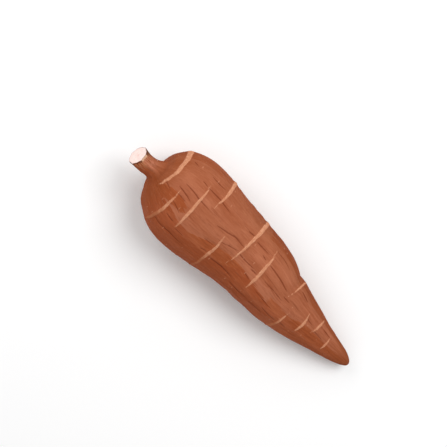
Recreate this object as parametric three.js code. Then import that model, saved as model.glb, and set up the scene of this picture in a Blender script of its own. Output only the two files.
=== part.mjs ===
// A whole cassava root, trimmed from its stem and lying on its belly. It grew as one piece, so it is
// one solid: a short woody neck with a flat cut, a steep round shoulder, a fat belly and a long taper
// to a blunt tip. Raised corky bands run part of the way round it, and shallow flutes run along it.
// Millimetres. +Z is up and +X runs from the cut neck to the tip. An angle "round" the root is 0 on
// the +Y side and 90 on top.
import * as THREE from "three";

// Stations along the root. Each has its centre, its half width across and its half height.
const STATIONS = [
  { x: -142.6, y: -1.8, z: 58.2, across: 9.6, high: 9.6 }, // the cut
  { x: -137.5, y: -2.1, z: 55.2, across: 9.1, high: 9.1 },
  { x: -131.0, y: -2.0, z: 52.2, across: 8.9, high: 8.8 }, // the neck's waist
  { x: -124.5, y: -0.9, z: 50.0, across: 9.2, high: 9.1 },
  { x: -120.4, y: -0.7, z: 48.8, across: 12.0, high: 11.8 },
  { x: -117.5, y: -0.7, z: 48.2, across: 18.8, high: 18.2 }, // the shoulder
  { x: -114.0, y: -0.4, z: 47.5, across: 26.5, high: 25.6 },
  { x: -107.8, y: 0.1, z: 46.1, across: 33.6, high: 32.2 },
  { x: -99.0, y: 0.9, z: 44.6, across: 39.4, high: 37.2 },
  { x: -88.0, y: 1.2, z: 42.6, across: 43.1, high: 40.6 },
  { x: -75.0, y: 0.8, z: 41.3, across: 44.5, high: 41.6 }, // the belly
  { x: -58.0, y: 0.6, z: 40.2, across: 43.5, high: 41.0 },
  { x: -38.0, y: 1.1, z: 38.0, across: 40.6, high: 38.8 },
  { x: -16.0, y: 1.8, z: 35.3, across: 37.6, high: 36.0 },
  { x: 8.0, y: 1.7, z: 34.1, across: 36.2, high: 34.4 },
  { x: 26.0, y: 0.0, z: 33.0, across: 34.5, high: 32.7 },
  { x: 44.0, y: -3.1, z: 30.5, across: 30.0, high: 29.3 }, // where the taper quickens
  { x: 54.0, y: -2.9, z: 28.8, across: 28.6, high: 27.6 },
  { x: 64.0, y: -3.5, z: 27.0, across: 26.1, high: 25.4 },
  { x: 86.0, y: -3.5, z: 23.4, across: 20.8, high: 20.6 },
  { x: 108.0, y: -3.1, z: 19.3, across: 15.1, high: 15.1 },
  { x: 126.0, y: -2.4, z: 16.2, across: 11.0, high: 11.0 },
  { x: 138.0, y: -1.8, z: 14.2, across: 7.9, high: 7.9 },
  { x: 144.6, y: -1.8, z: 12.9, across: 5.0, high: 5.0 },
  { x: 148.0, y: -2.2, z: 12.0, across: 2.3, high: 2.3 },
  { x: 148.8, y: -2.4, z: 11.8, across: 0.0, high: 0.0 }, // the tip
];

// The corky bands that face up. x is where a band's middle lies and turn the angle of that middle.
// sweep is how far round it goes, and drift how far its x moves from its low-angle end to its other end.
// width is its widest part, which lies at fat, from -1 at the low-angle end to 1 at the other.
const BANDS = [
  { x: -108.5, turn: 22, sweep: 176, drift: -15.4, width: 4.6, fat: -0.3 },
  { x: -100.7, turn: 134, sweep: 96, drift: 0, width: 3.2, fat: 0.0 },
  { x: -79.0, turn: 92, sweep: 80, drift: 5.4, width: 3.4, fat: 0.0 },
  { x: -60.5, turn: 14, sweep: 126, drift: -7.4, width: 4.2, fat: 0.0 },
  { x: -39.2, turn: 132, sweep: 106, drift: 2.5, width: 2.8, fat: -0.2 },
  { x: -13.3, turn: 38, sweep: 168, drift: -16.8, width: 4.2, fat: 0.0 },
  { x: 11.0, turn: 86, sweep: 82, drift: 5, width: 3.2, fat: 0.1 },
  { x: 50.0, turn: 42, sweep: 78, drift: -14.5, width: 2.4, fat: 0.0 },
  { x: 57.6, turn: 134, sweep: 92, drift: 3.2, width: 3.2, fat: 0.2 },
  { x: 75.7, turn: 92, sweep: 66, drift: 2.5, width: 3.0, fat: 0.2 },
  { x: 91.9, turn: 63, sweep: 74, drift: -7, width: 2.6, fat: 0.0 },
  { x: 110.6, turn: 90, sweep: 66, drift: 0, width: 2.4, fat: 0.2 },
];
const BAND_HEIGHT = 1.1;
const BAND_TAPER = 1.6; // a higher power keeps a band wide for longer before it tapers
const FULL_BAND_WIDTH = 3.6; // a narrower band is lower, in proportion
const FULL_BAND_RADIUS = 12; // and so is one on a thinner part

// The bands underneath follow a rule: even steps along the root, with a seeded draw for the rest.
const UNDER_BANDS = 15;
const UNDER_FROM = -104;
const UNDER_STEP = 15.5;
const UNDER_SEED = 5113;

// Slow swells of the whole skin: how many go round, how long one is, where it starts and how high it is.
const SWELLS = [
  { round: 2, length: 190, phase: 200, height: 0.35 },
  { round: 3, length: 260, phase: 310, height: 0.3 },
  { round: 2, length: 120, phase: 75, height: 0.2 },
  { round: 4, length: 150, phase: 130, height: 0.22 },
  { round: 5, length: 96, phase: 20, height: 0.2 },
];
const FLUTES = { round: 11, height: 0.3, sway: 1.3, swayLength: 41, fadeLength: 34 };
const FULL_RELIEF_RADIUS = 36; // a thinner part has less relief, in proportion
const CALM_BELOW = 34; // degrees either side of straight down where the swells are held back
const CALM_SHARE = 0.75;
const NECK_RIDGES = [
  { round: 7, phase: 20, height: 0.22 },
  { round: 11, phase: 75, height: 0.16 },
];
const NECK_END = -119;
const NECK_FADE = 5;

const SIDES = 48;
const RINGS = 110;
const FRAME_REACH = 7; // a section's direction is taken over this distance either way
const FLAT_SPOT_DEPTH = 0.35; // the belly is this much flatter underneath than a round one

const degrees = THREE.MathUtils.degToRad;

// A seeded draw from 0 to 1, alike on every run.
function seededDraw(seed) {
  const prime = 2147483647;
  let state = seed;
  return () => {
    state = (state * 16807) % prime;
    return state / prime;
  };
}

function bandsUnderneath() {
  const draw = seededDraw(UNDER_SEED);
  return Array.from({ length: UNDER_BANDS }, (_, i) => ({
    x: UNDER_FROM + UNDER_STEP * i + 6 * (draw() - 0.5),
    turn: 225 + 95 * draw(),
    sweep: 55 + 60 * draw(),
    drift: 12 * (draw() - 0.5),
    width: 4.4 - 0.14 * i + 0.8 * (draw() - 0.5),
    fat: 1.2 * (draw() - 0.5),
  }));
}

// The stations as rows of numbers, with a smooth curve through them by distance along it.
const rows = STATIONS.map((s) => [s.x, s.y, s.z, s.across, s.high]);
const distance = [0];
for (let i = 1; i < rows.length; i++)
  distance.push(distance[i - 1] + Math.hypot(...rows[i].map((v, k) => v - rows[i - 1][k])));
const total = distance.at(-1);

function slopeAt(i, k) {
  const before = Math.max(i - 1, 0);
  const after = Math.min(i + 1, rows.length - 1);
  return (rows[after][k] - rows[before][k]) / (distance[after] - distance[before]);
}

function profile(along) {
  const t = THREE.MathUtils.clamp(along, 0, total);
  const after = distance.findIndex((d) => d > t);
  const from = after < 0 ? rows.length - 2 : after - 1;
  const gap = distance[from + 1] - distance[from];
  const q = (t - distance[from]) / gap;
  const value = (k) =>
    (1 + 2 * q) * (1 - q) ** 2 * rows[from][k] +
    q * (1 - q) ** 2 * gap * slopeAt(from, k) +
    q * q * (3 - 2 * q) * rows[from + 1][k] +
    q * q * (q - 1) * gap * slopeAt(from + 1, k);
  return { centre: new THREE.Vector3(value(0), value(1), value(2)), across: value(3), high: value(4) };
}

// The two directions of a section: level to the side, and up across the root.
function sectionAxes(along) {
  const ahead = profile(along + FRAME_REACH).centre;
  const forward = ahead.sub(profile(along - FRAME_REACH).centre).normalize();
  const side = new THREE.Vector3(0, 0, 1).cross(forward).normalize();
  return { side, up: forward.clone().cross(side) };
}

// From -180 to 180 degrees.
function turnBetween(a, b) {
  return THREE.MathUtils.euclideanModulo(a - b + 180, 360) - 180;
}

function bandRelief(band, x, round) {
  const share = turnBetween(round, band.turn) / (band.sweep / 2);
  if (Math.abs(share) >= 1) return 0;
  const room = share > band.fat ? 1 - band.fat : 1 + band.fat;
  const full = 1 - Math.abs((share - band.fat) / room) ** BAND_TAPER;
  const off = (x - band.x - (band.drift / 2) * share) / (band.width * 0.55);
  return BAND_HEIGHT * Math.min(1, band.width / FULL_BAND_WIDTH) * full * Math.exp(-(off ** 2));
}

function swellRelief(x, round) {
  const lump = SWELLS.reduce(
    (sum, s) => sum + s.height * Math.cos(degrees(s.round * round + (360 * x) / s.length + s.phase)),
    0,
  );
  const sway = FLUTES.sway * Math.sin(x / FLUTES.swayLength);
  const fade = 0.5 + 0.5 * Math.cos(x / FLUTES.fadeLength + degrees(2 * round));
  const flute = FLUTES.height * fade * Math.cos(degrees(FLUTES.round * round) + sway);
  const calm = 1 - CALM_SHARE * Math.exp(-((turnBetween(round, 270) / CALM_BELOW) ** 2));
  return (lump + flute) * calm;
}

function neckRelief(x, round) {
  const height = (r) => r.height * Math.cos(degrees(r.round * round + r.phase));
  const ridges = NECK_RIDGES.reduce((sum, r) => sum + height(r), 0);
  return ridges / (1 + Math.exp((x - NECK_END) / NECK_FADE));
}

const allBands = [...BANDS, ...bandsUnderneath()];

function skinPoint({ centre, across, high }, axes, round) {
  const x = centre.x;
  const band = allBands.reduce((most, b) => Math.max(most, bandRelief(b, x, round)), 0);
  const swell = swellRelief(x, round) * Math.min(1, across / FULL_RELIEF_RADIUS);
  const relief = swell + neckRelief(x, round) + band * Math.min(1, across / FULL_BAND_RADIUS);
  const point = centre
    .clone()
    .addScaledVector(axes.side, (across + relief) * Math.cos(degrees(round)))
    .addScaledVector(axes.up, (high + relief) * Math.sin(degrees(round)));
  point.z = Math.max(0, point.z - FLAT_SPOT_DEPTH);
  return point;
}

// One closed skin: the rings, a fan over the cut and a fan round the tip.
function rootGeometry() {
  const points = [];
  for (let i = 0; i < RINGS; i++) {
    const along = (total * i) / RINGS;
    const section = profile(along);
    const axes = sectionAxes(along);
    for (let j = 0; j < SIDES; j++) points.push(skinPoint(section, axes, (360 * j) / SIDES));
  }
  const cutCentre = points.slice(0, SIDES).reduce((sum, p) => sum.add(p), new THREE.Vector3());
  const tipPoint = profile(total).centre;
  tipPoint.z -= FLAT_SPOT_DEPTH;
  points.push(cutCentre.divideScalar(SIDES), tipPoint);
  const cut = RINGS * SIDES;
  const tip = cut + 1;
  const faces = [];
  for (let j = 0; j < SIDES; j++) {
    const next = (j + 1) % SIDES;
    for (let i = 0; i < RINGS - 1; i++) {
      const here = i * SIDES;
      const ahead = here + SIDES;
      faces.push(here + j, here + next, ahead + j, here + next, ahead + next, ahead + j);
    }
    const last = (RINGS - 1) * SIDES;
    faces.push(cut, next, j, last + j, last + next, tip);
  }
  return new THREE.BufferGeometry().setFromPoints(points).setIndex(faces);
}

const skin = rootGeometry();
skin.computeBoundingBox();
const middle = skin.boundingBox.getCenter(new THREE.Vector3());
skin.translate(-middle.x, -middle.y, 0);
skin.computeVertexNormals();

const bark = new THREE.MeshStandardMaterial({ color: 0xa2573a, roughness: 0.72, metalness: 0 });

const root = new THREE.Mesh(skin, bark);
root.name = "cassava_root";

const cassava = new THREE.Group();
cassava.add(root);

export default cassava;
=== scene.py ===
# One whole cassava root, trimmed from its stem, lying on its belly on a pale floor and seen from above.
# The root's own sizes are in millimetres. Blender's objects are in metres.
# x runs from the cut neck to the tip, and "turn" is the angle round the root: 0 on the +Y side, 90 on top.
import math

import bpy
import numpy as np
from mathutils import Matrix, Vector, noise


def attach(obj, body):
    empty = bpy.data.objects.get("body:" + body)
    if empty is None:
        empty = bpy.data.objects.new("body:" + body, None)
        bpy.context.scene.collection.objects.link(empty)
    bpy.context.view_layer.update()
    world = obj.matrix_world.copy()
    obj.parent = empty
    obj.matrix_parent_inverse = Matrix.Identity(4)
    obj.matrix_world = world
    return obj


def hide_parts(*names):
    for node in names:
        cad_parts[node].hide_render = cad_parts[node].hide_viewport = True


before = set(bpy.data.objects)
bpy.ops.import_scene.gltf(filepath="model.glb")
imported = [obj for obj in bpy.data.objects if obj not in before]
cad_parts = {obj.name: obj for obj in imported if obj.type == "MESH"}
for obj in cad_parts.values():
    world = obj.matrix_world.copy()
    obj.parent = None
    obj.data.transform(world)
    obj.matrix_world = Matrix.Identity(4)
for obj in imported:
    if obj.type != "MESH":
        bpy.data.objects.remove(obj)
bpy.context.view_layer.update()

MM = 0.001

# The root's form

# Each station: the centre's x, y and z, then half the width across and half the height.
STATIONS = np.array(
    [
        (-142.6, -1.8, 58.2, 9.6, 9.6),  # the cut
        (-137.5, -2.1, 55.2, 9.1, 9.1),
        (-131.0, -2.0, 52.2, 8.9, 8.8),  # the neck's waist
        (-124.5, -0.9, 50.0, 9.2, 9.1),
        (-120.4, -0.7, 48.8, 12.0, 11.8),
        (-117.5, -0.7, 48.2, 18.8, 18.2),  # the shoulder
        (-114.0, -0.4, 47.5, 26.5, 25.6),
        (-107.8, 0.1, 46.1, 33.6, 32.2),
        (-99.0, 0.9, 44.6, 39.4, 37.2),
        (-88.0, 1.2, 42.6, 43.1, 40.6),
        (-75.0, 0.8, 41.3, 44.5, 41.6),  # the belly
        (-58.0, 0.6, 40.2, 43.5, 41.0),
        (-38.0, 1.1, 38.0, 40.6, 38.8),
        (-16.0, 1.8, 35.3, 37.6, 36.0),
        (8.0, 1.7, 34.1, 36.2, 34.4),
        (26.0, 0.0, 33.0, 34.5, 32.7),
        (44.0, -3.1, 30.5, 30.0, 29.3),  # where the taper quickens
        (54.0, -2.9, 28.8, 28.6, 27.6),
        (64.0, -3.5, 27.0, 26.1, 25.4),
        (86.0, -3.5, 23.4, 20.8, 20.6),
        (108.0, -3.1, 19.3, 15.1, 15.1),
        (126.0, -2.4, 16.2, 11.0, 11.0),
        (138.0, -1.8, 14.2, 7.9, 7.9),
        (144.6, -1.8, 12.9, 5.0, 5.0),
        (148.0, -2.2, 12.0, 2.3, 2.3),
        (148.8, -2.4, 11.8, 0.0, 0.0),  # the tip
    ]
)
FRAME_REACH = 7.0  # a section's direction is taken over this distance either way
FLAT_SPOT_DEPTH = 0.35  # the belly is this much flatter underneath than a round one

# The corky bands that face up: the middle's x and turn, how far round it goes, how far its x drifts on
# the way, its widest part, and where that lies, from -1 at the low-angle end to 1 at the other.
BANDS = [
    (-108.5, 22, 176, -15.4, 4.6, -0.3),
    (-100.7, 134, 96, 0, 3.2, 0.0),
    (-79.0, 92, 80, 5.4, 3.4, 0.0),
    (-60.5, 14, 126, -7.4, 4.2, 0.0),
    (-39.2, 132, 106, 2.5, 2.8, -0.2),
    (-13.3, 38, 168, -16.8, 4.2, 0.0),
    (11.0, 86, 82, 5, 3.2, 0.1),
    (50.0, 42, 78, -14.5, 2.4, 0.0),
    (57.6, 134, 92, 3.2, 3.2, 0.2),
    (75.7, 92, 66, 2.5, 3.0, 0.2),
    (91.9, 63, 74, -7, 2.6, 0.0),
    (110.6, 90, 66, 0, 2.4, 0.2),
]
BAND_HEIGHT = 1.1
BAND_TAPER = 1.6  # a higher power keeps a band wide for longer before it tapers
BAND_RIDGE_SHARE = 0.55  # how broad its ridge is, as a share of its width
FULL_BAND_WIDTH = 3.6  # a narrower band is lower, in proportion
FULL_BAND_RADIUS = 12.0  # and so is one on a thinner part

# The bands underneath follow a rule: even steps along the root, with a seeded draw for the rest.
UNDER_BANDS = 15
UNDER_FROM = -104.0
UNDER_STEP = 15.5
UNDER_SEED = 5113
UNDER_X_SPREAD = 6.0
UNDER_TURN = (225.0, 95.0)  # here and below: the least, and the most that the draw adds
UNDER_SWEEP = (55.0, 60.0)
UNDER_DRIFT_SPREAD = 12.0
UNDER_WIDTH = 4.4
UNDER_WIDTH_STEP = -0.14
UNDER_WIDTH_SPREAD = 0.8
UNDER_FAT_SPREAD = 1.2

# Slow swells of the whole skin: how many go round, how long one is, where it starts and how high it is.
SWELLS = [(2, 190, 200, 0.35), (3, 260, 310, 0.3), (2, 120, 75, 0.2), (4, 150, 130, 0.22), (5, 96, 20, 0.2)]
FLUTES = {"round": 11, "height": 0.3, "sway": 1.3, "sway_length": 41.0, "fade_length": 34.0}
FULL_RELIEF_RADIUS = 36.0  # a thinner part has less relief, in proportion
CALM_BELOW = 34.0  # degrees either side of straight down where the swells are held back
CALM_SHARE = 0.75
NECK_RIDGES = [(7, 20, 0.22), (11, 75, 0.16)]  # how many go round, where they start and how high they are
NECK_END = -119.0
NECK_FADE = 5.0

# Fine dark creases that run along the root: their width, then the x and turn of each point.
CREASES = [
    (1.3, (-104, 35), (-99, 42)),
    (0.9, (-115, 90), (-107, 97)),
    (1.3, (-101, 75), (-92, 77), (-82, 79), (-65, 79)),
    (1.1, (-104, 83), (-96, 86), (-86, 89)),
    (0.9, (-102, 92), (-91, 93)),
    (1.0, (-100, 104), (-86, 108)),
    (1.1, (-96, 122), (-81, 121)),
    (1.5, (-100, 143), (-91, 141), (-77, 136), (-58, 136)),
    (1.0, (-91, 58), (-83, 60)),
    (1.4, (-86, 44), (-76, 45), (-66, 44)),
    (1.4, (-82, 60), (-65, 60), (-50, 62)),
    (1.0, (-81, 20), (-66, 18)),
    (1.0, (-76, 125), (-65, 125)),
    (1.3, (-54, 86), (-41, 83), (-33, 80), (-19, 82)),
    (1.0, (-53, 108), (-43, 107)),
    (1.0, (-49, 122), (-42, 120)),
    (1.0, (-40, 98), (-31, 94), (-19, 90)),
    (1.6, (-37, 125), (-20, 125), (-3, 128)),
    (1.3, (-26, 60), (-17, 59)),
    (1.2, (-18, 93), (-7, 94), (3, 94)),
    (1.4, (-12, 62), (5, 62)),
    (1.5, (-2, 136), (12, 138), (24, 135)),
    (1.1, (0, 107), (9, 110)),
    (1.1, (1, 70), (7, 72)),
    (1.1, (2, 97), (9, 96)),
    (1.2, (9, 46), (18, 46), (27, 49)),
    (1.6, (12, 72), (24, 72), (39, 72)),
    (0.9, (19, 94), (31, 91), (42, 89)),
    (0.9, (20, 114), (44, 114)),
    (1.4, (26, 138), (33, 136), (42, 136)),
    (1.4, (38, 125), (45, 127), (54, 129)),
    (1.0, (40, 82), (50, 83)),
    (1.4, (53, 47), (66, 49)),
    (1.1, (57, 124), (67, 128)),
    (1.0, (74, 75), (85, 79)),
    (0.9, (90, 86), (104, 89)),
    (1.0, (98, 60), (110, 62)),
]

# The creases that don't face up are drawn from a seed.
HIDDEN_CREASES = 46
HIDDEN_SEED = 907
HIDDEN_X = (-104.0, 215.0)
HIDDEN_TURN = (158.0, 230.0)
HIDDEN_LENGTH = (9.0, 24.0)
HIDDEN_WIDTH = (0.8, 0.8)
HIDDEN_SLANT_SPREAD = 6.0
CREASE_DEPTH = 0.5
CREASE_WALLS = 0.6  # how broad a crease is at depth, as a share of its width
CREASE_TAPER = 0.4  # a lower power keeps a crease wide for longer before it tapers
CREASE_SKEW = 0.8  # below 1, it is widest nearer to the neck

# The scars of fine rootlets, on the sides and underneath.
SCARS = 9
SCAR_SEED = 331
SCAR_X = (-92.0, 190.0)
SCAR_TURN = (168.0, 210.0)
SCAR_SIZE = (1.5, 1.1)
NUB_HEIGHT = 0.7
PIT_DEPTH = 0.75
PIT_SHARE = 0.45  # the pit's size, as a share of the nub's
SCAR_SHARE = 1.1  # and that of its dark tone

# Fine relief made of noise. A row is its height, the size of its lumps and its seed.
BAND_WAVER = [(0.9, 13, 3), (0.35, 4, 8)]
BAND_ROUGHNESS = [(0.3, 3, 17)]
CREASE_WAVER = [(0.22, 16, 21)]
LUMPS = [(0.3, 15, 1), (0.12, 5.5, 2), (0.05, 2.6, 9)]
RIPPLES = [(0.08, (3.2, 16, 16), 12)]
WRINKLES = [(1.0, (38, 4.2, 4.2), 5)]
WRINKLE_DEPTH = 0.25
WRINKLE_SHARPNESS = 6
FULL_FINE_RADIUS = 14.0  # a thinner part has less of it, in proportion
NO_MARK = -3.0  # the field of a mark in places that are far from it

RINGS = 226
SIDES = 418
PLACE_RADIUS = 30.0  # the straightened skin is wrapped round a rod of this radius

# How the cut lies: its rings from the edge inwards, as a share of the edge's radius and how proud each is.
CUT_RINGS = [(0.99, 0.12), (0.975, 0.15), (0.96, 0.02), (0.945, -0.12), (0.88, -0.1)]
CUT_RINGS += [(0.7, 0.0), (0.5, 0.05), (0.3, 0.0), (0.16, -0.08), (0.09, -0.25), (0.04, -0.32)]
BARK_RINGS = 2  # the outermost of them are still bark
CUT_WAVER = [(0.15, 2.4, 30)]
FLESH_WAVER_SHARE = 0.3
HUB_DEPTH = 0.3


def seeded_draw(seed):
    """A draw from 0 to 1, alike on every run."""
    prime = 2147483647
    state = seed

    def draw():
        nonlocal state
        state = state * 16807 % prime
        return state / prime

    return draw


def drawn(draw, least, more):
    return least + more * draw()


def spread(draw, width):
    return width * (draw() - 0.5)


def bands_underneath():
    draw = seeded_draw(UNDER_SEED)
    return [
        (
            UNDER_FROM + UNDER_STEP * i + spread(draw, UNDER_X_SPREAD),
            drawn(draw, *UNDER_TURN),
            drawn(draw, *UNDER_SWEEP),
            spread(draw, UNDER_DRIFT_SPREAD),
            UNDER_WIDTH + UNDER_WIDTH_STEP * i + spread(draw, UNDER_WIDTH_SPREAD),
            spread(draw, UNDER_FAT_SPREAD),
        )
        for i in range(UNDER_BANDS)
    ]


def creases_out_of_sight():
    draw = seeded_draw(HIDDEN_SEED)
    made = []
    for _ in range(HIDDEN_CREASES):
        x = drawn(draw, *HIDDEN_X)
        turn = drawn(draw, *HIDDEN_TURN)
        length = drawn(draw, *HIDDEN_LENGTH)
        width = drawn(draw, *HIDDEN_WIDTH)
        end_turn = turn + spread(draw, HIDDEN_SLANT_SPREAD)
        made.append((width, (x, turn), (x + length, end_turn)))
    return made


# A smooth curve through the stations, by distance along it

DISTANCE = np.concatenate([[0.0], np.cumsum(np.linalg.norm(np.diff(STATIONS, axis=0), axis=1))])
TOTAL = DISTANCE[-1]
BEFORE = np.maximum(np.arange(len(STATIONS)) - 1, 0)
AFTER = np.minimum(np.arange(len(STATIONS)) + 1, len(STATIONS) - 1)
SLOPES = (STATIONS[AFTER] - STATIONS[BEFORE]) / (DISTANCE[AFTER] - DISTANCE[BEFORE])[:, None]


def profile(along):
    """A row for each distance along the root: the centre's x, y and z, and the half width and height."""
    t = np.clip(along, 0, TOTAL)
    i = np.clip(np.searchsorted(DISTANCE, t, side="right") - 1, 0, len(STATIONS) - 2)
    gap = (DISTANCE[i + 1] - DISTANCE[i])[:, None]
    q = (t - DISTANCE[i])[:, None] / gap
    return (
        (1 + 2 * q) * (1 - q) ** 2 * STATIONS[i]
        + q * (1 - q) ** 2 * gap * SLOPES[i]
        + q * q * (3 - 2 * q) * STATIONS[i + 1]
        + q * q * (q - 1) * gap * SLOPES[i + 1]
    )


def unit(rows):
    return rows / np.linalg.norm(rows, axis=1)[:, None]


def section_axes(along):
    """The directions of each section: forward, level to the side, and up across the root."""
    forward = unit((profile(along + FRAME_REACH) - profile(along - FRAME_REACH))[:, :3])
    side = unit(np.cross((0.0, 0.0, 1.0), forward))
    return forward, side, np.cross(forward, side)


# Relief, for x and turn on a grid

def turn_between(a, b):
    return (a - b + 180) % 360 - 180


def noise_at(places, size, seed):
    """Smooth noise from -1 to 1 at each place, with lumps of about that size in each direction."""
    scaled = places.reshape(-1, 3) / np.asarray(size, float) + (seed, 2.3 * seed, -1.7 * seed)
    values = np.fromiter((noise.noise(Vector(p)) for p in scaled.tolist()), float, len(scaled))
    return values.reshape(places.shape[:-1])


def rough(places, rows):
    """The noise of all the rows together."""
    return sum(height * noise_at(places, size, seed) for height, size, seed in rows)


def across_band(band, x, turn):
    """How far each place lies from the band's middle line, and from 0 to 1 how full the band is there."""
    middle, middle_turn, sweep, drift, _, fat = band
    share = turn_between(turn, middle_turn) / (sweep / 2)
    room = np.where(share > fat, 1 - fat, 1 + fat)
    full = 1 - np.minimum(1, np.abs((share - fat) / room)) ** BAND_TAPER
    return x - middle - drift / 2 * share, np.where(np.abs(share) < 1, full, 0.0)


def swell_relief(x, turn):
    lump = 0
    for count, length, phase, height in SWELLS:
        lump = lump + height * np.cos(np.radians(count * turn + 360 * x / length + phase))
    sway = FLUTES["sway"] * np.sin(x / FLUTES["sway_length"])
    fade = 0.5 + 0.5 * np.cos(x / FLUTES["fade_length"] + np.radians(2 * turn))
    flute = FLUTES["height"] * fade * np.cos(np.radians(FLUTES["round"] * turn) + sway)
    calm = 1 - CALM_SHARE * np.exp(-((turn_between(turn, 270) / CALM_BELOW) ** 2))
    return (lump + flute) * calm


def neck_relief(x, turn):
    ridges = sum(height * np.cos(np.radians(n * turn + phase)) for n, phase, height in NECK_RIDGES)
    return ridges / (1 + np.exp((x - NECK_END) / NECK_FADE))


def band_marks(x, turn, waver):
    """The bands' relief, and a field that is positive inside their tan marks, in millimetres."""
    relief = np.zeros(np.broadcast(x, turn).shape)
    field = np.full(relief.shape, NO_MARK)
    for band in BANDS + bands_underneath():
        off, full = across_band(band, x, turn)
        off = off + waver
        width = band[4]
        ridge = np.exp(-((off / (width * BAND_RIDGE_SHARE)) ** 2))
        height = BAND_HEIGHT * min(1, width / FULL_BAND_WIDTH) * full * ridge
        relief = np.maximum(relief, height)
        field = np.maximum(field, np.where(full > 0, width / 2 * full - np.abs(off), NO_MARK))
    return relief, field


def crease_marks(x, turn, radius, waver):
    """How deep in a crease each place is, from 0 to 1, and a field that is positive inside it."""
    deep = np.zeros(np.broadcast(x, turn).shape)
    field = np.full(deep.shape, NO_MARK)
    for width, *points in CREASES + creases_out_of_sight():
        xs = [p[0] for p in points]
        share = (x - xs[0]) / (xs[-1] - xs[0])
        taper = np.sin(np.pi * np.clip(share, 0, 1) ** CREASE_SKEW) ** CREASE_TAPER
        line = np.interp(x, xs, [p[1] for p in points])
        off = np.abs(np.radians(turn_between(turn, line)) * radius + waver)
        deep = np.maximum(deep, taper * np.exp(-((off / (CREASE_WALLS * width)) ** 2)))
        field = np.maximum(field, np.where(taper > 0, width / 2 * taper - off, NO_MARK))
    return deep, field


def scar_marks(x, turn, radius):
    """The rootlet scars' relief, each a low nub with a pit, and from 0 to 1 where they are."""
    draw = seeded_draw(SCAR_SEED)
    relief = np.zeros(np.broadcast(x, turn).shape)
    where = relief.copy()
    for _ in range(SCARS):
        middle = drawn(draw, *SCAR_X)
        middle_turn = drawn(draw, *SCAR_TURN)
        size = drawn(draw, *SCAR_SIZE)
        round_off = np.radians(turn_between(turn, middle_turn)) * radius
        away = np.hypot(x - middle, round_off) / size
        relief += NUB_HEIGHT * np.exp(-(away**2)) - PIT_DEPTH * np.exp(-((away / PIT_SHARE) ** 2))
        where = np.maximum(where, np.exp(-((away / SCAR_SHARE) ** 4)))
    return relief, where


# The root's skin and its cut, in one closed mesh

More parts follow.
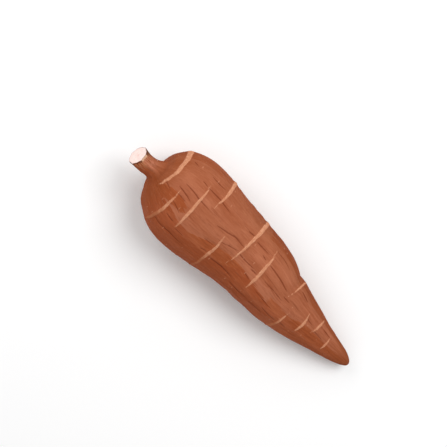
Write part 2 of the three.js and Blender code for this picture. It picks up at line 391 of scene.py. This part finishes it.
def root_mesh():
    along = TOTAL * np.arange(RINGS) / RINGS
    sections = profile(along)
    forward, side, up = section_axes(along)
    turn = 360 * np.arange(SIDES)[None, :] / SIDES
    x = sections[:, 0:1]
    across = sections[:, 3:4]
    high = sections[:, 4:5]
    cos, sin = np.cos(np.radians(turn)), np.sin(np.radians(turn))

    def skin(relief):
        sideways = side[:, None] * ((across + relief) * cos)[..., None]
        return sections[:, None, :3] + sideways + up[:, None] * ((high + relief) * sin)[..., None]

    flat = np.zeros((RINGS, SIDES))
    smooth = skin(flat)
    straight = [along[:, None] + flat, PLACE_RADIUS * cos + flat, PLACE_RADIUS * sin + flat]
    straight = np.stack(straight, axis=-1)

    band_relief, band_field = band_marks(x, turn, rough(smooth, BAND_WAVER))
    crease, crease_field = crease_marks(x, turn, across, rough(smooth, CREASE_WAVER))
    scar_relief, scar = scar_marks(x, turn, across)
    wrinkle = WRINKLE_DEPTH * (1 - np.abs(rough(straight, WRINKLES))) ** WRINKLE_SHARPNESS
    fine = rough(smooth, LUMPS) - wrinkle + rough(straight, RIPPLES) - CREASE_DEPTH * crease + scar_relief
    relief = (
        swell_relief(x, turn) * np.minimum(1, across / FULL_RELIEF_RADIUS)
        + neck_relief(x, turn)
        + band_relief * np.minimum(1, across / FULL_BAND_RADIUS) * (1 + rough(smooth, BAND_ROUGHNESS))
        + fine * np.minimum(1, across / FULL_FINE_RADIUS)
    )
    points = skin(relief)
    points[..., 2] = np.maximum(0, points[..., 2] - FLAT_SPOT_DEPTH)

    rim = points[0]
    middle = rim.mean(axis=0)
    ragged = rough(rim, CUT_WAVER)[:, None]
    cut = []
    for i, (share, proud) in enumerate(CUT_RINGS):
        lift = proud + (ragged if i < BARK_RINGS else FLESH_WAVER_SHARE * ragged * share)
        cut.append(middle + (rim - middle) * share - forward[0] * lift)
    hub_and_tip = [middle + forward[0] * HUB_DEPTH, tip_point()]
    vertices = np.concatenate([points.reshape(-1, 3), *cut, hub_and_tip])
    shift = -(vertices.min(axis=0) + vertices.max(axis=0)) / 2
    shift[2] = 0.0

    def joined(a, b):
        """The quads between two rings of vertices, a before b along the root."""
        return [(a + j, a + (j + 1) % SIDES, b + (j + 1) % SIDES, b + j) for j in range(SIDES)]

    faces = [f for i in range(RINGS - 1) for f in joined(i * SIDES, (i + 1) * SIDES)]
    bark_faces = len(faces)
    first_cut = RINGS * SIDES
    rings = [0] + [first_cut + i * SIDES for i in range(len(CUT_RINGS))]
    for outer, inner in zip(rings, rings[1:]):
        faces += joined(inner, outer)
    hub = first_cut + len(CUT_RINGS) * SIDES
    faces += [(hub, rings[-1] + (j + 1) % SIDES, rings[-1] + j) for j in range(SIDES)]
    last = (RINGS - 1) * SIDES
    faces += [(last + j, last + (j + 1) % SIDES, hub + 1) for j in range(SIDES)]

    mesh = bpy.data.meshes.new("whole_root")
    mesh.from_pydata(((vertices + shift) * MM).tolist(), [], faces)
    mesh.polygons.foreach_set("use_smooth", [True] * len(faces))
    first_flesh = bark_faces + BARK_RINGS * SIDES
    flesh_faces = (len(CUT_RINGS) - BARK_RINGS + 1) * SIDES
    slots = [0] * first_flesh + [1] * flesh_faces + [0] * SIDES
    mesh.polygons.foreach_set("material_index", slots)

    spare = len(CUT_RINGS) * SIDES

    def keep(name, values, cut_values):
        made = mesh.attributes.new(name, "FLOAT", "POINT")
        made.data.foreach_set("value", np.concatenate([values.ravel(), cut_values, [0.0, 0.0]]))

    keep("band_field", band_field, np.full(spare, NO_MARK))
    keep("crease_field", crease_field, np.full(spare, NO_MARK))
    keep("scar", scar, np.zeros(spare))
    keep("relief", relief, np.zeros(spare))
    shares = np.repeat([share for share, _ in CUT_RINGS], SIDES)
    keep("cut_share", np.full(RINGS * SIDES, 1.0), shares)
    place = mesh.attributes.new("skin_place", "FLOAT_VECTOR", "POINT")
    cut_places = np.concatenate(cut) - middle + (0.0, PLACE_RADIUS, 0.0)
    ends = [(0.0, 0.0, 0.0), (TOTAL, 0.0, 0.0)]
    places = np.concatenate([straight.reshape(-1, 3), cut_places, ends])
    place.data.foreach_set("vector", places.ravel())
    mesh.validate()
    return mesh, shift


def tip_point():
    tip = profile(np.array([TOTAL]))[0, :3]
    tip[2] -= FLAT_SPOT_DEPTH
    return tip


# Materials

def paint(red, green, blue):
    """A colour as seen on a screen, from 0 to 255, in the linear form that a shader takes."""
    parts = [v / 255 for v in (red, green, blue)]
    return (*[p / 12.92 if p <= 0.04045 else ((p + 0.055) / 1.055) ** 2.4 for p in parts], 1.0)


class Bench:
    """Makes one tree's nodes and joins them. A value is a number, a colour or another node's socket."""

    def __init__(self, tree):
        self.tree = tree

    def put(self, kind, inputs=(), **settings):
        node = self.tree.nodes.new(kind)
        for name, value in settings.items():
            setattr(node, name, value)
        for key, value in dict(inputs).items():
            if isinstance(value, bpy.types.NodeSocket):
                self.tree.links.new(value, node.inputs[key])
            else:
                node.inputs[key].default_value = value
        return node

    def maths(self, operation, a, b=0.0, c=0.0):
        return self.put("ShaderNodeMath", {0: a, 1: b, 2: c}, operation=operation).outputs[0]

    def between(self, value, low, high, to_low=0.0, to_high=1.0):
        """to_low at low and below, to_high at high and above, and a smooth step between."""
        inputs = {"Value": value, "From Min": low, "From Max": high, "To Min": to_low, "To Max": to_high}
        return self.put("ShaderNodeMapRange", inputs, interpolation_type="SMOOTHSTEP").outputs["Result"]

    def blend(self, share, a, b, how="MIX"):
        inputs = {"Factor": share, "A": a, "B": b}
        node = self.tree.nodes.new("ShaderNodeMix")
        node.data_type = "RGBA"
        node.blend_type = how
        sockets = {"Factor": node.inputs[0], "A": node.inputs[6], "B": node.inputs[7]}
        for key, value in inputs.items():
            if isinstance(value, bpy.types.NodeSocket):
                self.tree.links.new(value, sockets[key])
            else:
                sockets[key].default_value = value
        return node.outputs[2]

    def tint(self, mask, strength, colour, tone):
        """The colour, with as much of the tone in it as the mask and the strength say."""
        return self.blend(self.maths("MULTIPLY", mask, strength), colour, tone)

    def vectors(self, operation, a, b):
        return self.put("ShaderNodeVectorMath", {0: a, 1: b}, operation=operation).outputs["Vector"]

    def lean(self, place, way):
        """How far a place lies that way, for a direction from way_of."""
        node = self.put("ShaderNodeVectorMath", {0: place, 1: way}, operation="DOT_PRODUCT")
        return node.outputs["Value"]

    def part(self, vector, axis):
        return self.put("ShaderNodeSeparateXYZ", {"Vector": vector}).outputs[axis]

    def attribute(self, name, output="Fac"):
        return self.put("ShaderNodeAttribute", attribute_name=name).outputs[output]

    def spot(self):
        """The place on the object, in millimetres."""
        body = self.put("ShaderNodeTexCoord").outputs["Object"]
        scaled = self.put("ShaderNodeVectorMath", {0: body, "Scale": 1 / MM}, operation="SCALE")
        return scaled.outputs["Vector"]

    def use(self, group, **inputs):
        """An effect's group, placed with its own values, and its one output."""
        node = self.tree.nodes.new("ShaderNodeGroup")
        node.node_tree = group
        for name, value in inputs.items():
            socket = node.inputs[name.replace("_", " ").capitalize()]
            if isinstance(value, bpy.types.NodeSocket):
                self.tree.links.new(value, socket)
            else:
                socket.default_value = value
        return node.outputs[0]


def effect(name, inputs, output):
    """An empty group: its bench, its input sockets by name and its output node."""
    tree = bpy.data.node_groups.new(name, "ShaderNodeTree")
    for title, (kind, value) in inputs.items():
        socket = tree.interface.new_socket(title, in_out="INPUT", socket_type=kind)
        if value is not None:
            socket.default_value = value
    tree.interface.new_socket(output, in_out="OUTPUT", socket_type="NodeSocketFloat")
    bench = Bench(tree)
    return bench, tree.nodes.new("NodeGroupInput").outputs, tree.nodes.new("NodeGroupOutput")


NUMBER = "NodeSocketFloat"
VECTOR = "NodeSocketVector"


def cell_size(bench, given):
    """A group's sizes along and across, as one vector."""
    sizes = {"X": given["Along"], "Y": given["Across"], "Z": given["Across"]}
    return bench.put("ShaderNodeCombineXYZ", sizes).outputs["Vector"]


def grain_effect():
    """Noise drawn out along the root. Its lumps' sizes are in the place's own units."""
    inputs = {
        "Place": (VECTOR, None),
        "Along": (NUMBER, 10.0),
        "Across": (NUMBER, 2.0),
        "Detail": (NUMBER, 3.0),
        "Seed": (NUMBER, 0.0),
    }
    bench, given, out = effect("grain", inputs, "Value")
    scaled = bench.vectors("DIVIDE", given["Place"], cell_size(bench, given))
    moved = bench.vectors("ADD", scaled, given["Seed"])
    settings = {"Vector": moved, "Scale": 1.0, "Detail": given["Detail"], "Roughness": 0.55}
    speckle = bench.put("ShaderNodeTexNoise", settings)
    bench.tree.links.new(speckle.outputs["Fac"], out.inputs[0])
    return bench.tree


def ragged_effect(grain):
    """A mask that is 1 where a field is above 0, with an edge as ragged as asked."""
    inputs = {
        "Field": (NUMBER, 0.0),
        "Place": (VECTOR, None),
        "Size": (NUMBER, 1.5),
        "Raggedness": (NUMBER, 0.5),
        "Softness": (NUMBER, 0.3),
    }
    bench, given, out = effect("ragged mark", inputs, "Mask")
    speckle = bench.use(grain, place=given["Place"], along=given["Size"], across=given["Size"], detail=2.0)
    push = bench.maths("MULTIPLY", bench.maths("SUBTRACT", speckle, 0.5), given["Raggedness"])
    moved = bench.maths("MULTIPLY_ADD", push, 2.0, given["Field"])
    low = bench.maths("MULTIPLY", given["Softness"], -1.0)
    mask = bench.between(moved, low, given["Softness"])
    bench.tree.links.new(mask, out.inputs[0])
    return bench.tree


def fleck_effect():
    """Small flecks, one in some of the cells of a mesh, drawn out along or across."""
    inputs = {
        "Place": (VECTOR, None),
        "Along": (NUMBER, 6.0),
        "Across": (NUMBER, 6.0),
        "Share": (NUMBER, 0.4),
        "Reach": (NUMBER, 0.25),
    }
    bench, given, out = effect("flecks", inputs, "Mask")
    scaled = bench.vectors("DIVIDE", given["Place"], cell_size(bench, given))
    cells = bench.put("ShaderNodeTexVoronoi", {"Vector": scaled, "Scale": 1.0, "Randomness": 1.0})
    parts = bench.put("ShaderNodeSeparateColor", {"Color": cells.outputs["Color"]})
    chosen = bench.maths("LESS_THAN", parts.outputs["Red"], given["Share"])
    inner = bench.maths("MULTIPLY", given["Reach"], 0.45)
    near = bench.between(cells.outputs["Distance"], inner, given["Reach"], 1.0, 0.0)
    bench.tree.links.new(bench.maths("MULTIPLY", near, chosen), out.inputs[0])
    return bench.tree


def panel_effect(grain):
    """Long cells with frayed edges. Each has one value: how far its middle lies that way, plus a draw."""
    inputs = {
        "Place": (VECTOR, None),
        "Along": (NUMBER, 30.0),
        "Across": (NUMBER, 8.0),
        "Fray": (NUMBER, 2.0),
        "Direction": (VECTOR, None),
        "Draw": (NUMBER, 1.0),
    }
    bench, given, out = effect("tone panels", inputs, "Value")
    fibre = bench.use(grain, place=given["Place"], along=16.0, across=0.9, detail=3.0, seed=31.0)
    push = bench.maths("MULTIPLY", bench.maths("SUBTRACT", fibre, 0.5), given["Fray"])
    frayed = bench.vectors("ADD", given["Place"], push)
    size = cell_size(bench, given)
    scaled = bench.vectors("DIVIDE", frayed, size)
    cells = bench.put("ShaderNodeTexVoronoi", {"Vector": scaled, "Scale": 1.0, "Randomness": 0.8})
    middle = bench.vectors("MULTIPLY", cells.outputs["Position"], size)
    parts = bench.put("ShaderNodeSeparateColor", {"Color": cells.outputs["Color"]})
    draw = bench.maths("SUBTRACT", parts.outputs["Green"], 0.5)
    value = bench.maths("MULTIPLY_ADD", draw, given["Draw"], bench.lean(middle, given["Direction"]))
    bench.tree.links.new(value, out.inputs[0])
    return bench.tree


def new_material(name):
    material = bpy.data.materials.new(name)
    material.use_nodes = True
    tree = material.node_tree
    shader = tree.nodes["Principled BSDF"]
    return material, Bench(tree), shader


def finish_material(bench, shader, colour, roughness, height, strength):
    """Joins the colour, the roughness and a height in millimetres to the shader."""
    bump = bench.put("ShaderNodeBump", {"Height": height, "Strength": strength, "Distance": MM})
    bench.tree.links.new(colour, shader.inputs["Base Color"])
    bench.tree.links.new(roughness, shader.inputs["Roughness"])
    bench.tree.links.new(bump.outputs["Normal"], shader.inputs["Normal"])


def way_of(turn):
    """A direction in which a skin place at that turn lies 1 far, and one behind it lies -1 far."""
    angle = math.radians(turn)
    return (0.0, math.cos(angle) / PLACE_RADIUS, math.sin(angle) / PLACE_RADIUS)


# Where the tones lie round the root
# Painted light falls on the lit side, and painted shade along the low side
LIT_SIDE = way_of(35)
LOW_SIDE = way_of(-30)
FAR_SIDE = way_of(0)
# The side of the neck's end that gets painted shade
NECK_SHADE_SIDE = way_of(20)
NECK_PALE = way_of(68)
NECK_CHIP = way_of(72)

# Tones of the bark. Where there are two, the bark varies between them.
# The lit, shaded, deep and low-edge copies of the bark below are painted light and painted shade
PAINTED_LIT_BARK = (paint(160, 92, 63), paint(172, 104, 75))
PAINTED_LIT_STREAK = paint(142, 72, 46)
PAINTED_LIT_FLAKE = paint(176, 108, 78)
PAINTED_SHADED_BARK = (paint(155, 79, 45), paint(165, 89, 54))
PAINTED_SHADED_STREAK = paint(138, 62, 28)
PAINTED_DEEP_SHADE_BARK = paint(155, 78, 46)
PAINTED_LOW_EDGE_SHADE = paint(150, 76, 43)
PALE_PANEL = paint(180, 108, 80)
DEEP_PANEL = paint(140, 68, 38)
# Painted shade, multiplied in on the sides, the flanks and the far side
SIDE_SHADE = paint(253, 241, 225)
FLANK_SHADE = paint(243, 229, 210)
FAR_SHADE = paint(230, 224, 212)
UNDERSIDE = paint(132, 80, 56)
END_BARK = paint(140, 70, 36)
DEEP_FIBRE = paint(130, 64, 36)
PALE_FIBRE = paint(190, 120, 86)
# Painted highlight on ridges and painted shade in hollows
RIDGE_HIGHLIGHT = paint(190, 120, 88)
HOLLOW_SHADE = paint(128, 60, 34)
NECK_FIBRE = paint(204, 134, 94)
# Painted shade on the neck's sides
NECK_SIDE_SHADE = paint(84, 46, 28)
NECK_PATCH = paint(196, 126, 98)
# Painted shade on one side of the neck's end
NECK_END_SHADE = paint(92, 58, 38)
NECK_RIM = paint(92, 48, 28)
CHIPPED_BARK = paint(228, 184, 150)
CORK = (paint(194, 128, 95), paint(215, 155, 121))
# Painted shade on the bands' shaded side
PAINTED_SHADED_CORK = paint(170, 96, 54)
CRACK = paint(124, 60, 36)
# Partly the creases' own dark tone and partly painted shade in the groove
CREASE_AND_SHADE = paint(114, 52, 30)
PORE = paint(208, 144, 112)
SCAR = paint(120, 66, 44)

# Where the tones change along the root, by x in millimetres
DEEP_SHADE_FADES = (36.0, 62.0)
LIT_SIDE_NARROWS = (26.0, 44.0)
LOW_WIDENS = (-8.0, 8.0)
FAR_DEEPENS = (-40.0, -5.0)
NECK_JOINS = (-126.0, -117.0)
SHOULDER = (-98.0, -112.0)
TIP = (110.0, 146.0)
RIM_WIDTH = 1.9
CHIP_WIDTH = 2.4


def bark_tones(bench, panels, place, reach, broad, streak, mottle):
    """Painted light makes the upper side paler and painted shade darkens the rest, in long panels, and each
    panel has a slightly different tone.
    """
    lit_bark = bench.blend(bench.between(broad, 0.35, 0.65), *PAINTED_LIT_BARK)
    lit_bark = bench.blend(bench.between(streak, 0.52, 0.72, 0.0, 0.28), lit_bark, PAINTED_LIT_STREAK)
    lit_bark = bench.blend(bench.between(mottle, 0.5, 0.75, 0.0, 0.22), lit_bark, PAINTED_LIT_FLAKE)
    shaded_bark = bench.blend(bench.between(broad, 0.35, 0.65), *PAINTED_SHADED_BARK)
    shaded_bark = bench.blend(bench.between(streak, 0.52, 0.72, 0.0, 0.5), shaded_bark, PAINTED_SHADED_STREAK)

    panel_size = {"place": place, "along": 50.0, "across": 7.0, "fray": 5.0}
    lit_share = bench.use(panels, **panel_size, direction=LIT_SIDE, draw=0.25)
    lit_share = bench.maths("MULTIPLY_ADD", bench.maths("SUBTRACT", broad, 0.5), 0.15, lit_share)
    lit_share = bench.maths("ADD", lit_share, bench.between(reach, *LIT_SIDE_NARROWS, 0.0, -0.13))
    deep_shade_fade = bench.between(reach, *DEEP_SHADE_FADES, 0.9, 0.35)
    deep_shaded_bark = bench.tint(bench.between(lit_share, 0.14, 0.08), deep_shade_fade, shaded_bark, PAINTED_DEEP_SHADE_BARK)
    colour = bench.blend(bench.between(lit_share, 0.33, 0.38), deep_shaded_bark, lit_bark)
    # Painted shade along the low edge of the +Y side
    low = bench.use(panels, **panel_size, direction=LOW_SIDE, draw=0.2)
    low = bench.maths("ADD", low, bench.between(reach, *LOW_WIDENS, 0.0, 0.18))
    colour = bench.blend(bench.between(low, 0.6, 0.66, 0.0, 0.85), colour, PAINTED_LOW_EDGE_SHADE)
    panel = bench.use(panels, **panel_size, direction=(0.0, 0.0, 0.0), draw=1.0)
    colour = bench.blend(bench.between(panel, 0.0, 0.4, 0.0, 0.2), colour, PALE_PANEL)
    return bench.blend(bench.between(panel, 0.0, -0.4, 0.0, 0.25), colour, DEEP_PANEL)


def bark_shades(bench, place, reach, up, side, colour):
    """Painted shade deepens the sides that face the ground, and the far side. The underside is duller, and
    both ends are deeper.
    """
    # Painted shade where the skin turns away from the top, and more on the flanks
    colour = bench.blend(side, colour, SIDE_SHADE, how="MULTIPLY")
    colour = bench.blend(bench.between(up, 0.3, -0.05), colour, FLANK_SHADE, how="MULTIPLY")
    colour = bench.blend(bench.between(up, 0.05, -0.6, 0.0, 0.6), colour, UNDERSIDE)
    # Painted shade on the far side
    far_shaded = bench.between(bench.lean(place, FAR_SIDE), 0.5, 0.85)
    far_shaded = bench.maths("MULTIPLY", far_shaded, bench.between(reach, *FAR_DEEPENS, 0.4, 1.0))
    colour = bench.blend(far_shaded, colour, FAR_SHADE, how="MULTIPLY")
    shoulder = bench.between(reach, *SHOULDER)
    shoulder = bench.maths("MULTIPLY", shoulder, bench.between(reach, *NECK_JOINS))
    ends = bench.maths("MAXIMUM", shoulder, bench.between(reach, *TIP))
    return bench.tint(ends, 0.65, colour, END_BARK)


def neck_tones(bench, grain, ragged, place, spot, side, colour):
    """The neck's fibres show tan, and the cut's rim is dark. Painted shade darkens the neck's sides and one
    side of its end. A chip of bark is off.
    """
    from_cut = bench.part(place, "X")
    fibre = bench.use(grain, place=place, along=14.0, across=3.4, detail=2.0, seed=23.0)
    fibres = bench.maths("MULTIPLY", bench.between(fibre, 0.48, 0.58), bench.between(from_cut, 15.0, 4.0))
    colour = bench.tint(fibres, 0.75, colour, NECK_FIBRE)
    # Painted shade on the neck's sides, near the cut
    neck_sides_shaded = bench.maths("MULTIPLY", bench.between(side, 0.35, 0.8), bench.between(from_cut, 14.0, 6.0))
    colour = bench.tint(neck_sides_shaded, 0.85, colour, NECK_SIDE_SHADE)

    pale = bench.between(bench.lean(place, NECK_PALE), 0.86, 0.98)
    pale = bench.maths("MULTIPLY", pale, bench.between(from_cut, 20.0, 14.0))
    patch = bench.use(grain, place=place, along=6.0, across=4.0, detail=2.0, seed=41.0)
    pale = bench.maths("MULTIPLY", pale, bench.between(patch, 0.42, 0.52))
    colour = bench.tint(pale, 0.75, colour, NECK_PATCH)
    # Painted shade on one side of the neck's end
    end_shaded = bench.between(bench.lean(place, NECK_SHADE_SIDE), 0.82, 0.96)
    end_shaded = bench.maths("MULTIPLY", end_shaded, bench.between(from_cut, 8.0, 2.5))
    colour = bench.tint(end_shaded, 0.75, colour, NECK_END_SHADE)

    rim = bench.maths("SUBTRACT", RIM_WIDTH, from_cut)
    rim = bench.use(ragged, field=rim, place=spot, size=2.6, raggedness=1.6, softness=0.5)
    colour = bench.tint(rim, 0.75, colour, NECK_RIM)
    chip = bench.maths("MULTIPLY", bench.maths("SUBTRACT", bench.lean(place, NECK_CHIP), 0.93), 60.0)
    chip = bench.maths("MINIMUM", chip, bench.maths("SUBTRACT", CHIP_WIDTH, from_cut))
    chip = bench.use(ragged, field=chip, place=spot, size=1.4, raggedness=1.2, softness=0.4)
    return bench.tint(chip, 0.85, colour, CHIPPED_BARK)


def bark_material(grain, ragged, flecks, panels):
    material, bench, shader = new_material("cassava_bark")
    place = bench.attribute("skin_place", "Vector")
    spot = bench.spot()
    reach = bench.part(spot, "X")
    relief = bench.attribute("relief")
    up = bench.part(bench.put("ShaderNodeNewGeometry").outputs["Normal"], "Z")
    # How far each place faces sideways: painted shade goes there
    side = bench.between(up, 0.8, -0.1)

    # Long streaks and patches, then the tones that they vary
    broad = bench.use(grain, place=place, along=60.0, across=9.0, detail=2.0, seed=4.0)
    streak = bench.use(grain, place=place, along=34.0, across=1.7, detail=3.0, seed=11.0)
    mottle = bench.use(grain, place=spot, along=11.0, across=11.0, detail=4.0, seed=2.0)
    colour = bark_tones(bench, panels, place, reach, broad, streak, mottle)
    colour = bark_shades(bench, place, reach, up, side, colour)

    # Fine fibres all over, some paler and some darker
    fuzz = bench.use(grain, place=place, along=8.0, across=0.9, detail=4.0, seed=27.0)
    colour = bench.blend(bench.between(fuzz, 0.53, 0.72, 0.0, 0.3), colour, DEEP_FIBRE)
    colour = bench.blend(bench.between(fuzz, 0.47, 0.3, 0.0, 0.26), colour, PALE_FIBRE)

    # Painted highlight makes the ridges paler, and painted shade makes the hollows darker
    colour = bench.blend(bench.between(relief, 0.2, 1.2, 0.0, 0.12), colour, RIDGE_HIGHLIGHT)
    colour = bench.blend(bench.between(relief, -0.2, -1.3, 0.0, 0.25), colour, HOLLOW_SHADE)
    colour = neck_tones(bench, grain, ragged, place, spot, side, colour)

    # The corky bands, darker and fainter on the low side as painted shade
    band_field = bench.attribute("band_field")
    band = bench.use(ragged, field=band_field, place=spot, size=1.6, raggedness=0.6, softness=0.35)
    scurf = bench.use(grain, place=place, along=1.2, across=2.6, detail=3.0, seed=7.0)
    toward_lit = bench.lean(place, LIT_SIDE)
    cork = bench.blend(bench.between(scurf, 0.35, 0.7), *CORK)
    cork = bench.blend(bench.between(toward_lit, 0.3, -0.3, 0.0, 0.55), cork, PAINTED_SHADED_CORK)
    colour = bench.tint(band, bench.between(toward_lit, 0.0, -0.2, 0.92, 0.52), colour, cork)

    # Creases and finer cracks, which the bands cover. The creases are dark partly in their own tone and
    # partly as painted shade in the groove
    crease_field = bench.attribute("crease_field")
    crease = bench.use(ragged, field=crease_field, place=spot, size=1.1, raggedness=0.35, softness=0.25)
    crack = bench.use(grain, place=place, along=30.0, across=1.0, detail=2.0, seed=19.0)
    bare = bench.maths("SUBTRACT", 1.0, band)
    cracks = bench.maths("MULTIPLY", bench.between(crack, 0.64, 0.74), bare)
    colour = bench.tint(cracks, 0.42, colour, CRACK)
    colour = bench.tint(bench.maths("MULTIPLY", crease, bare), 0.68, colour, CREASE_AND_SHADE)

    # Pale pores, longer across the root than along it, and rootlet scars
    pores = bench.use(flecks, place=place, along=4.0, across=8.0, share=0.3, reach=0.2)
    pores = bench.maths("MULTIPLY", pores, bare)
    colour = bench.tint(pores, 0.35, colour, PORE)
    colour = bench.tint(bench.attribute("scar"), 0.6, colour, SCAR)

    roughness = bench.maths("MULTIPLY_ADD", band, 0.14, bench.between(mottle, 0.3, 0.7, 0.62, 0.74))
    height = bench.maths("MULTIPLY_ADD", streak, -0.35, bench.maths("MULTIPLY", mottle, 0.2))
    height = bench.maths("MULTIPLY_ADD", bench.maths("MULTIPLY", scurf, band), 0.35, height)
    height = bench.maths("MULTIPLY_ADD", fuzz, -0.5, height)
    height = bench.maths("MULTIPLY_ADD", cracks, -0.25, height)
    height = bench.maths("MULTIPLY_ADD", pores, 0.12, height)
    finish_material(bench, shader, colour, roughness, height, 0.75)
    shader.inputs["Specular IOR Level"].default_value = 0.04
    shader.inputs["Specular Tint"].default_value = (1.0, 0.6, 0.4, 1.0)
    return material


FLESH = (paint(243, 214, 206), paint(248, 226, 218))
RIND = paint(222, 196, 190)
PITH = paint(236, 190, 180)
FLESH_DOT = paint(232, 190, 176)
CUT_RADIUS = 10.0  # millimetres, about
RIND_FROM = 9.1  # where the rind starts, out from the middle
PITH_RADIUS = 1.5


def flesh_material(grain, ragged, flecks):
    material, bench, shader = new_material("cut_flesh")
    spot = bench.spot()
    share = bench.attribute("cut_share")
    cloud = bench.use(grain, place=spot, along=2.4, across=2.4, detail=3.0, seed=3.0)
    colour = bench.blend(bench.between(cloud, 0.35, 0.65), *FLESH)
    rind = bench.maths("MULTIPLY_ADD", share, CUT_RADIUS, -RIND_FROM)
    rind = bench.use(ragged, field=rind, place=spot, size=1.2, raggedness=0.5, softness=0.4)
    colour = bench.tint(rind, 0.7, colour, RIND)
    pith = bench.maths("MULTIPLY_ADD", share, -CUT_RADIUS, PITH_RADIUS)
    pith = bench.use(ragged, field=pith, place=spot, size=0.8, raggedness=0.5, softness=0.5)
    colour = bench.tint(pith, 0.5, colour, PITH)
    dots = bench.use(flecks, place=spot, along=1.3, across=1.3, share=0.5, reach=0.3)
    colour = bench.tint(dots, 0.18, colour, FLESH_DOT)
    roughness = bench.between(cloud, 0.3, 0.7, 0.5, 0.62)
    height = bench.maths("MULTIPLY_ADD", dots, -0.15, bench.maths("MULTIPLY", cloud, 0.5))
    finish_material(bench, shader, colour, roughness, height, 0.4)
    return material


FLOOR = (paint(250, 250, 250), paint(253, 253, 253))


def floor_material(grain):
    material, bench, shader = new_material("pale_floor")
    body = bench.put("ShaderNodeTexCoord").outputs["Object"]
    cloud = bench.use(grain, place=body, along=0.5, across=0.5, detail=2.0)
    colour = bench.blend(cloud, *FLOOR)
    bench.tree.links.new(colour, shader.inputs["Base Color"])
    shader.inputs["Roughness"].default_value = 0.9
    shader.inputs["Specular IOR Level"].default_value = 0.1
    return material


# The pieces

def add_root(grain, ragged, flecks, panels):
    mesh, shift = root_mesh()
    root = bpy.data.objects.new("whole_root", mesh)
    bpy.context.collection.objects.link(root)
    root.data.materials.append(bark_material(grain, ragged, flecks, panels))
    root.data.materials.append(flesh_material(grain, ragged, flecks))
    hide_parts("cassava_root")
    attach(root, "root")
    return shift


FLOOR_SIDE = 6.0
FLOOR_DROP = 0.00005


def add_floor(grain):
    half = FLOOR_SIDE / 2
    corners = [(-half, -half, -FLOOR_DROP), (half, -half, -FLOOR_DROP), (half, half, -FLOOR_DROP)]
    corners.append((-half, half, -FLOOR_DROP))
    mesh = bpy.data.meshes.new("floor")
    mesh.from_pydata(corners, [], [(0, 1, 2, 3)])
    floor = bpy.data.objects.new("floor", mesh)
    bpy.context.collection.objects.link(floor)
    mesh.materials.append(floor_material(grain))


# The light comes softly from above and from the root's +Y side.
LAMPS = [
    ("key", (0.1, 0.8, 1.4), 1.1, 14.0, (1.0, 1.0, 1.0)),
    ("fill", (-1.15, 0.1, 0.8), 1.0, 5.0, (1.0, 1.0, 1.0)),
]
SKY = 0.55
SKY_TINT = (1.0, 1.0, 1.0, 1.0)


def add_lights():
    for name, place, size, power, tint in LAMPS:
        lamp = bpy.data.lights.new(name, "AREA")
        lamp.shape = "DISK"
        lamp.size = size
        lamp.energy = power
        lamp.color = tint
        holder = bpy.data.objects.new(name, lamp)
        holder.location = place
        holder.rotation_euler = (-Vector(place)).to_track_quat("-Z", "Y").to_euler()
        bpy.context.collection.objects.link(holder)
    world = bpy.data.worlds.new("studio")
    world.use_nodes = True
    world.node_tree.nodes["Background"].inputs["Color"].default_value = SKY_TINT
    world.node_tree.nodes["Background"].inputs["Strength"].default_value = SKY
    bpy.context.scene.world = world
    bpy.context.scene.view_settings.view_transform = "Standard"


# The camera looks down, leaning towards the neck, and is rolled so that the tip points down and right.
PHOTO_SIDE = 447  # pixels
PHOTO_SCALE = 0.94  # millimetres of the root for each pixel
LENS = 100.0
SENSOR = 36.0
LEAN = math.radians(8)
AIM = (-39.5, 9.4, 34.0)


def add_camera(shift):
    back = Vector((-math.sin(LEAN), 0, math.cos(LEAN)))
    down_root = Vector((math.cos(LEAN), 0, math.sin(LEAN)))
    over_root = Vector((0, 1, 0))
    right = (down_root + over_root).normalized()
    up = (over_root - down_root).normalized()
    distance = PHOTO_SCALE * PHOTO_SIDE * LENS / SENSOR
    lens = bpy.data.cameras.new("camera")
    lens.lens = LENS
    lens.sensor_width = SENSOR
    camera = bpy.data.objects.new("camera", lens)
    turned = Matrix((right, up, back)).transposed().to_4x4()
    turned.translation = (Vector(AIM) + Vector(shift) + back * distance) * MM
    camera.matrix_world = turned
    bpy.context.collection.objects.link(camera)
    bpy.context.scene.camera = camera


grain = grain_effect()
ragged = ragged_effect(grain)
flecks = fleck_effect()
panels = panel_effect(grain)
shift = add_root(grain, ragged, flecks, panels)
add_floor(grain)
add_lights()
add_camera(shift)
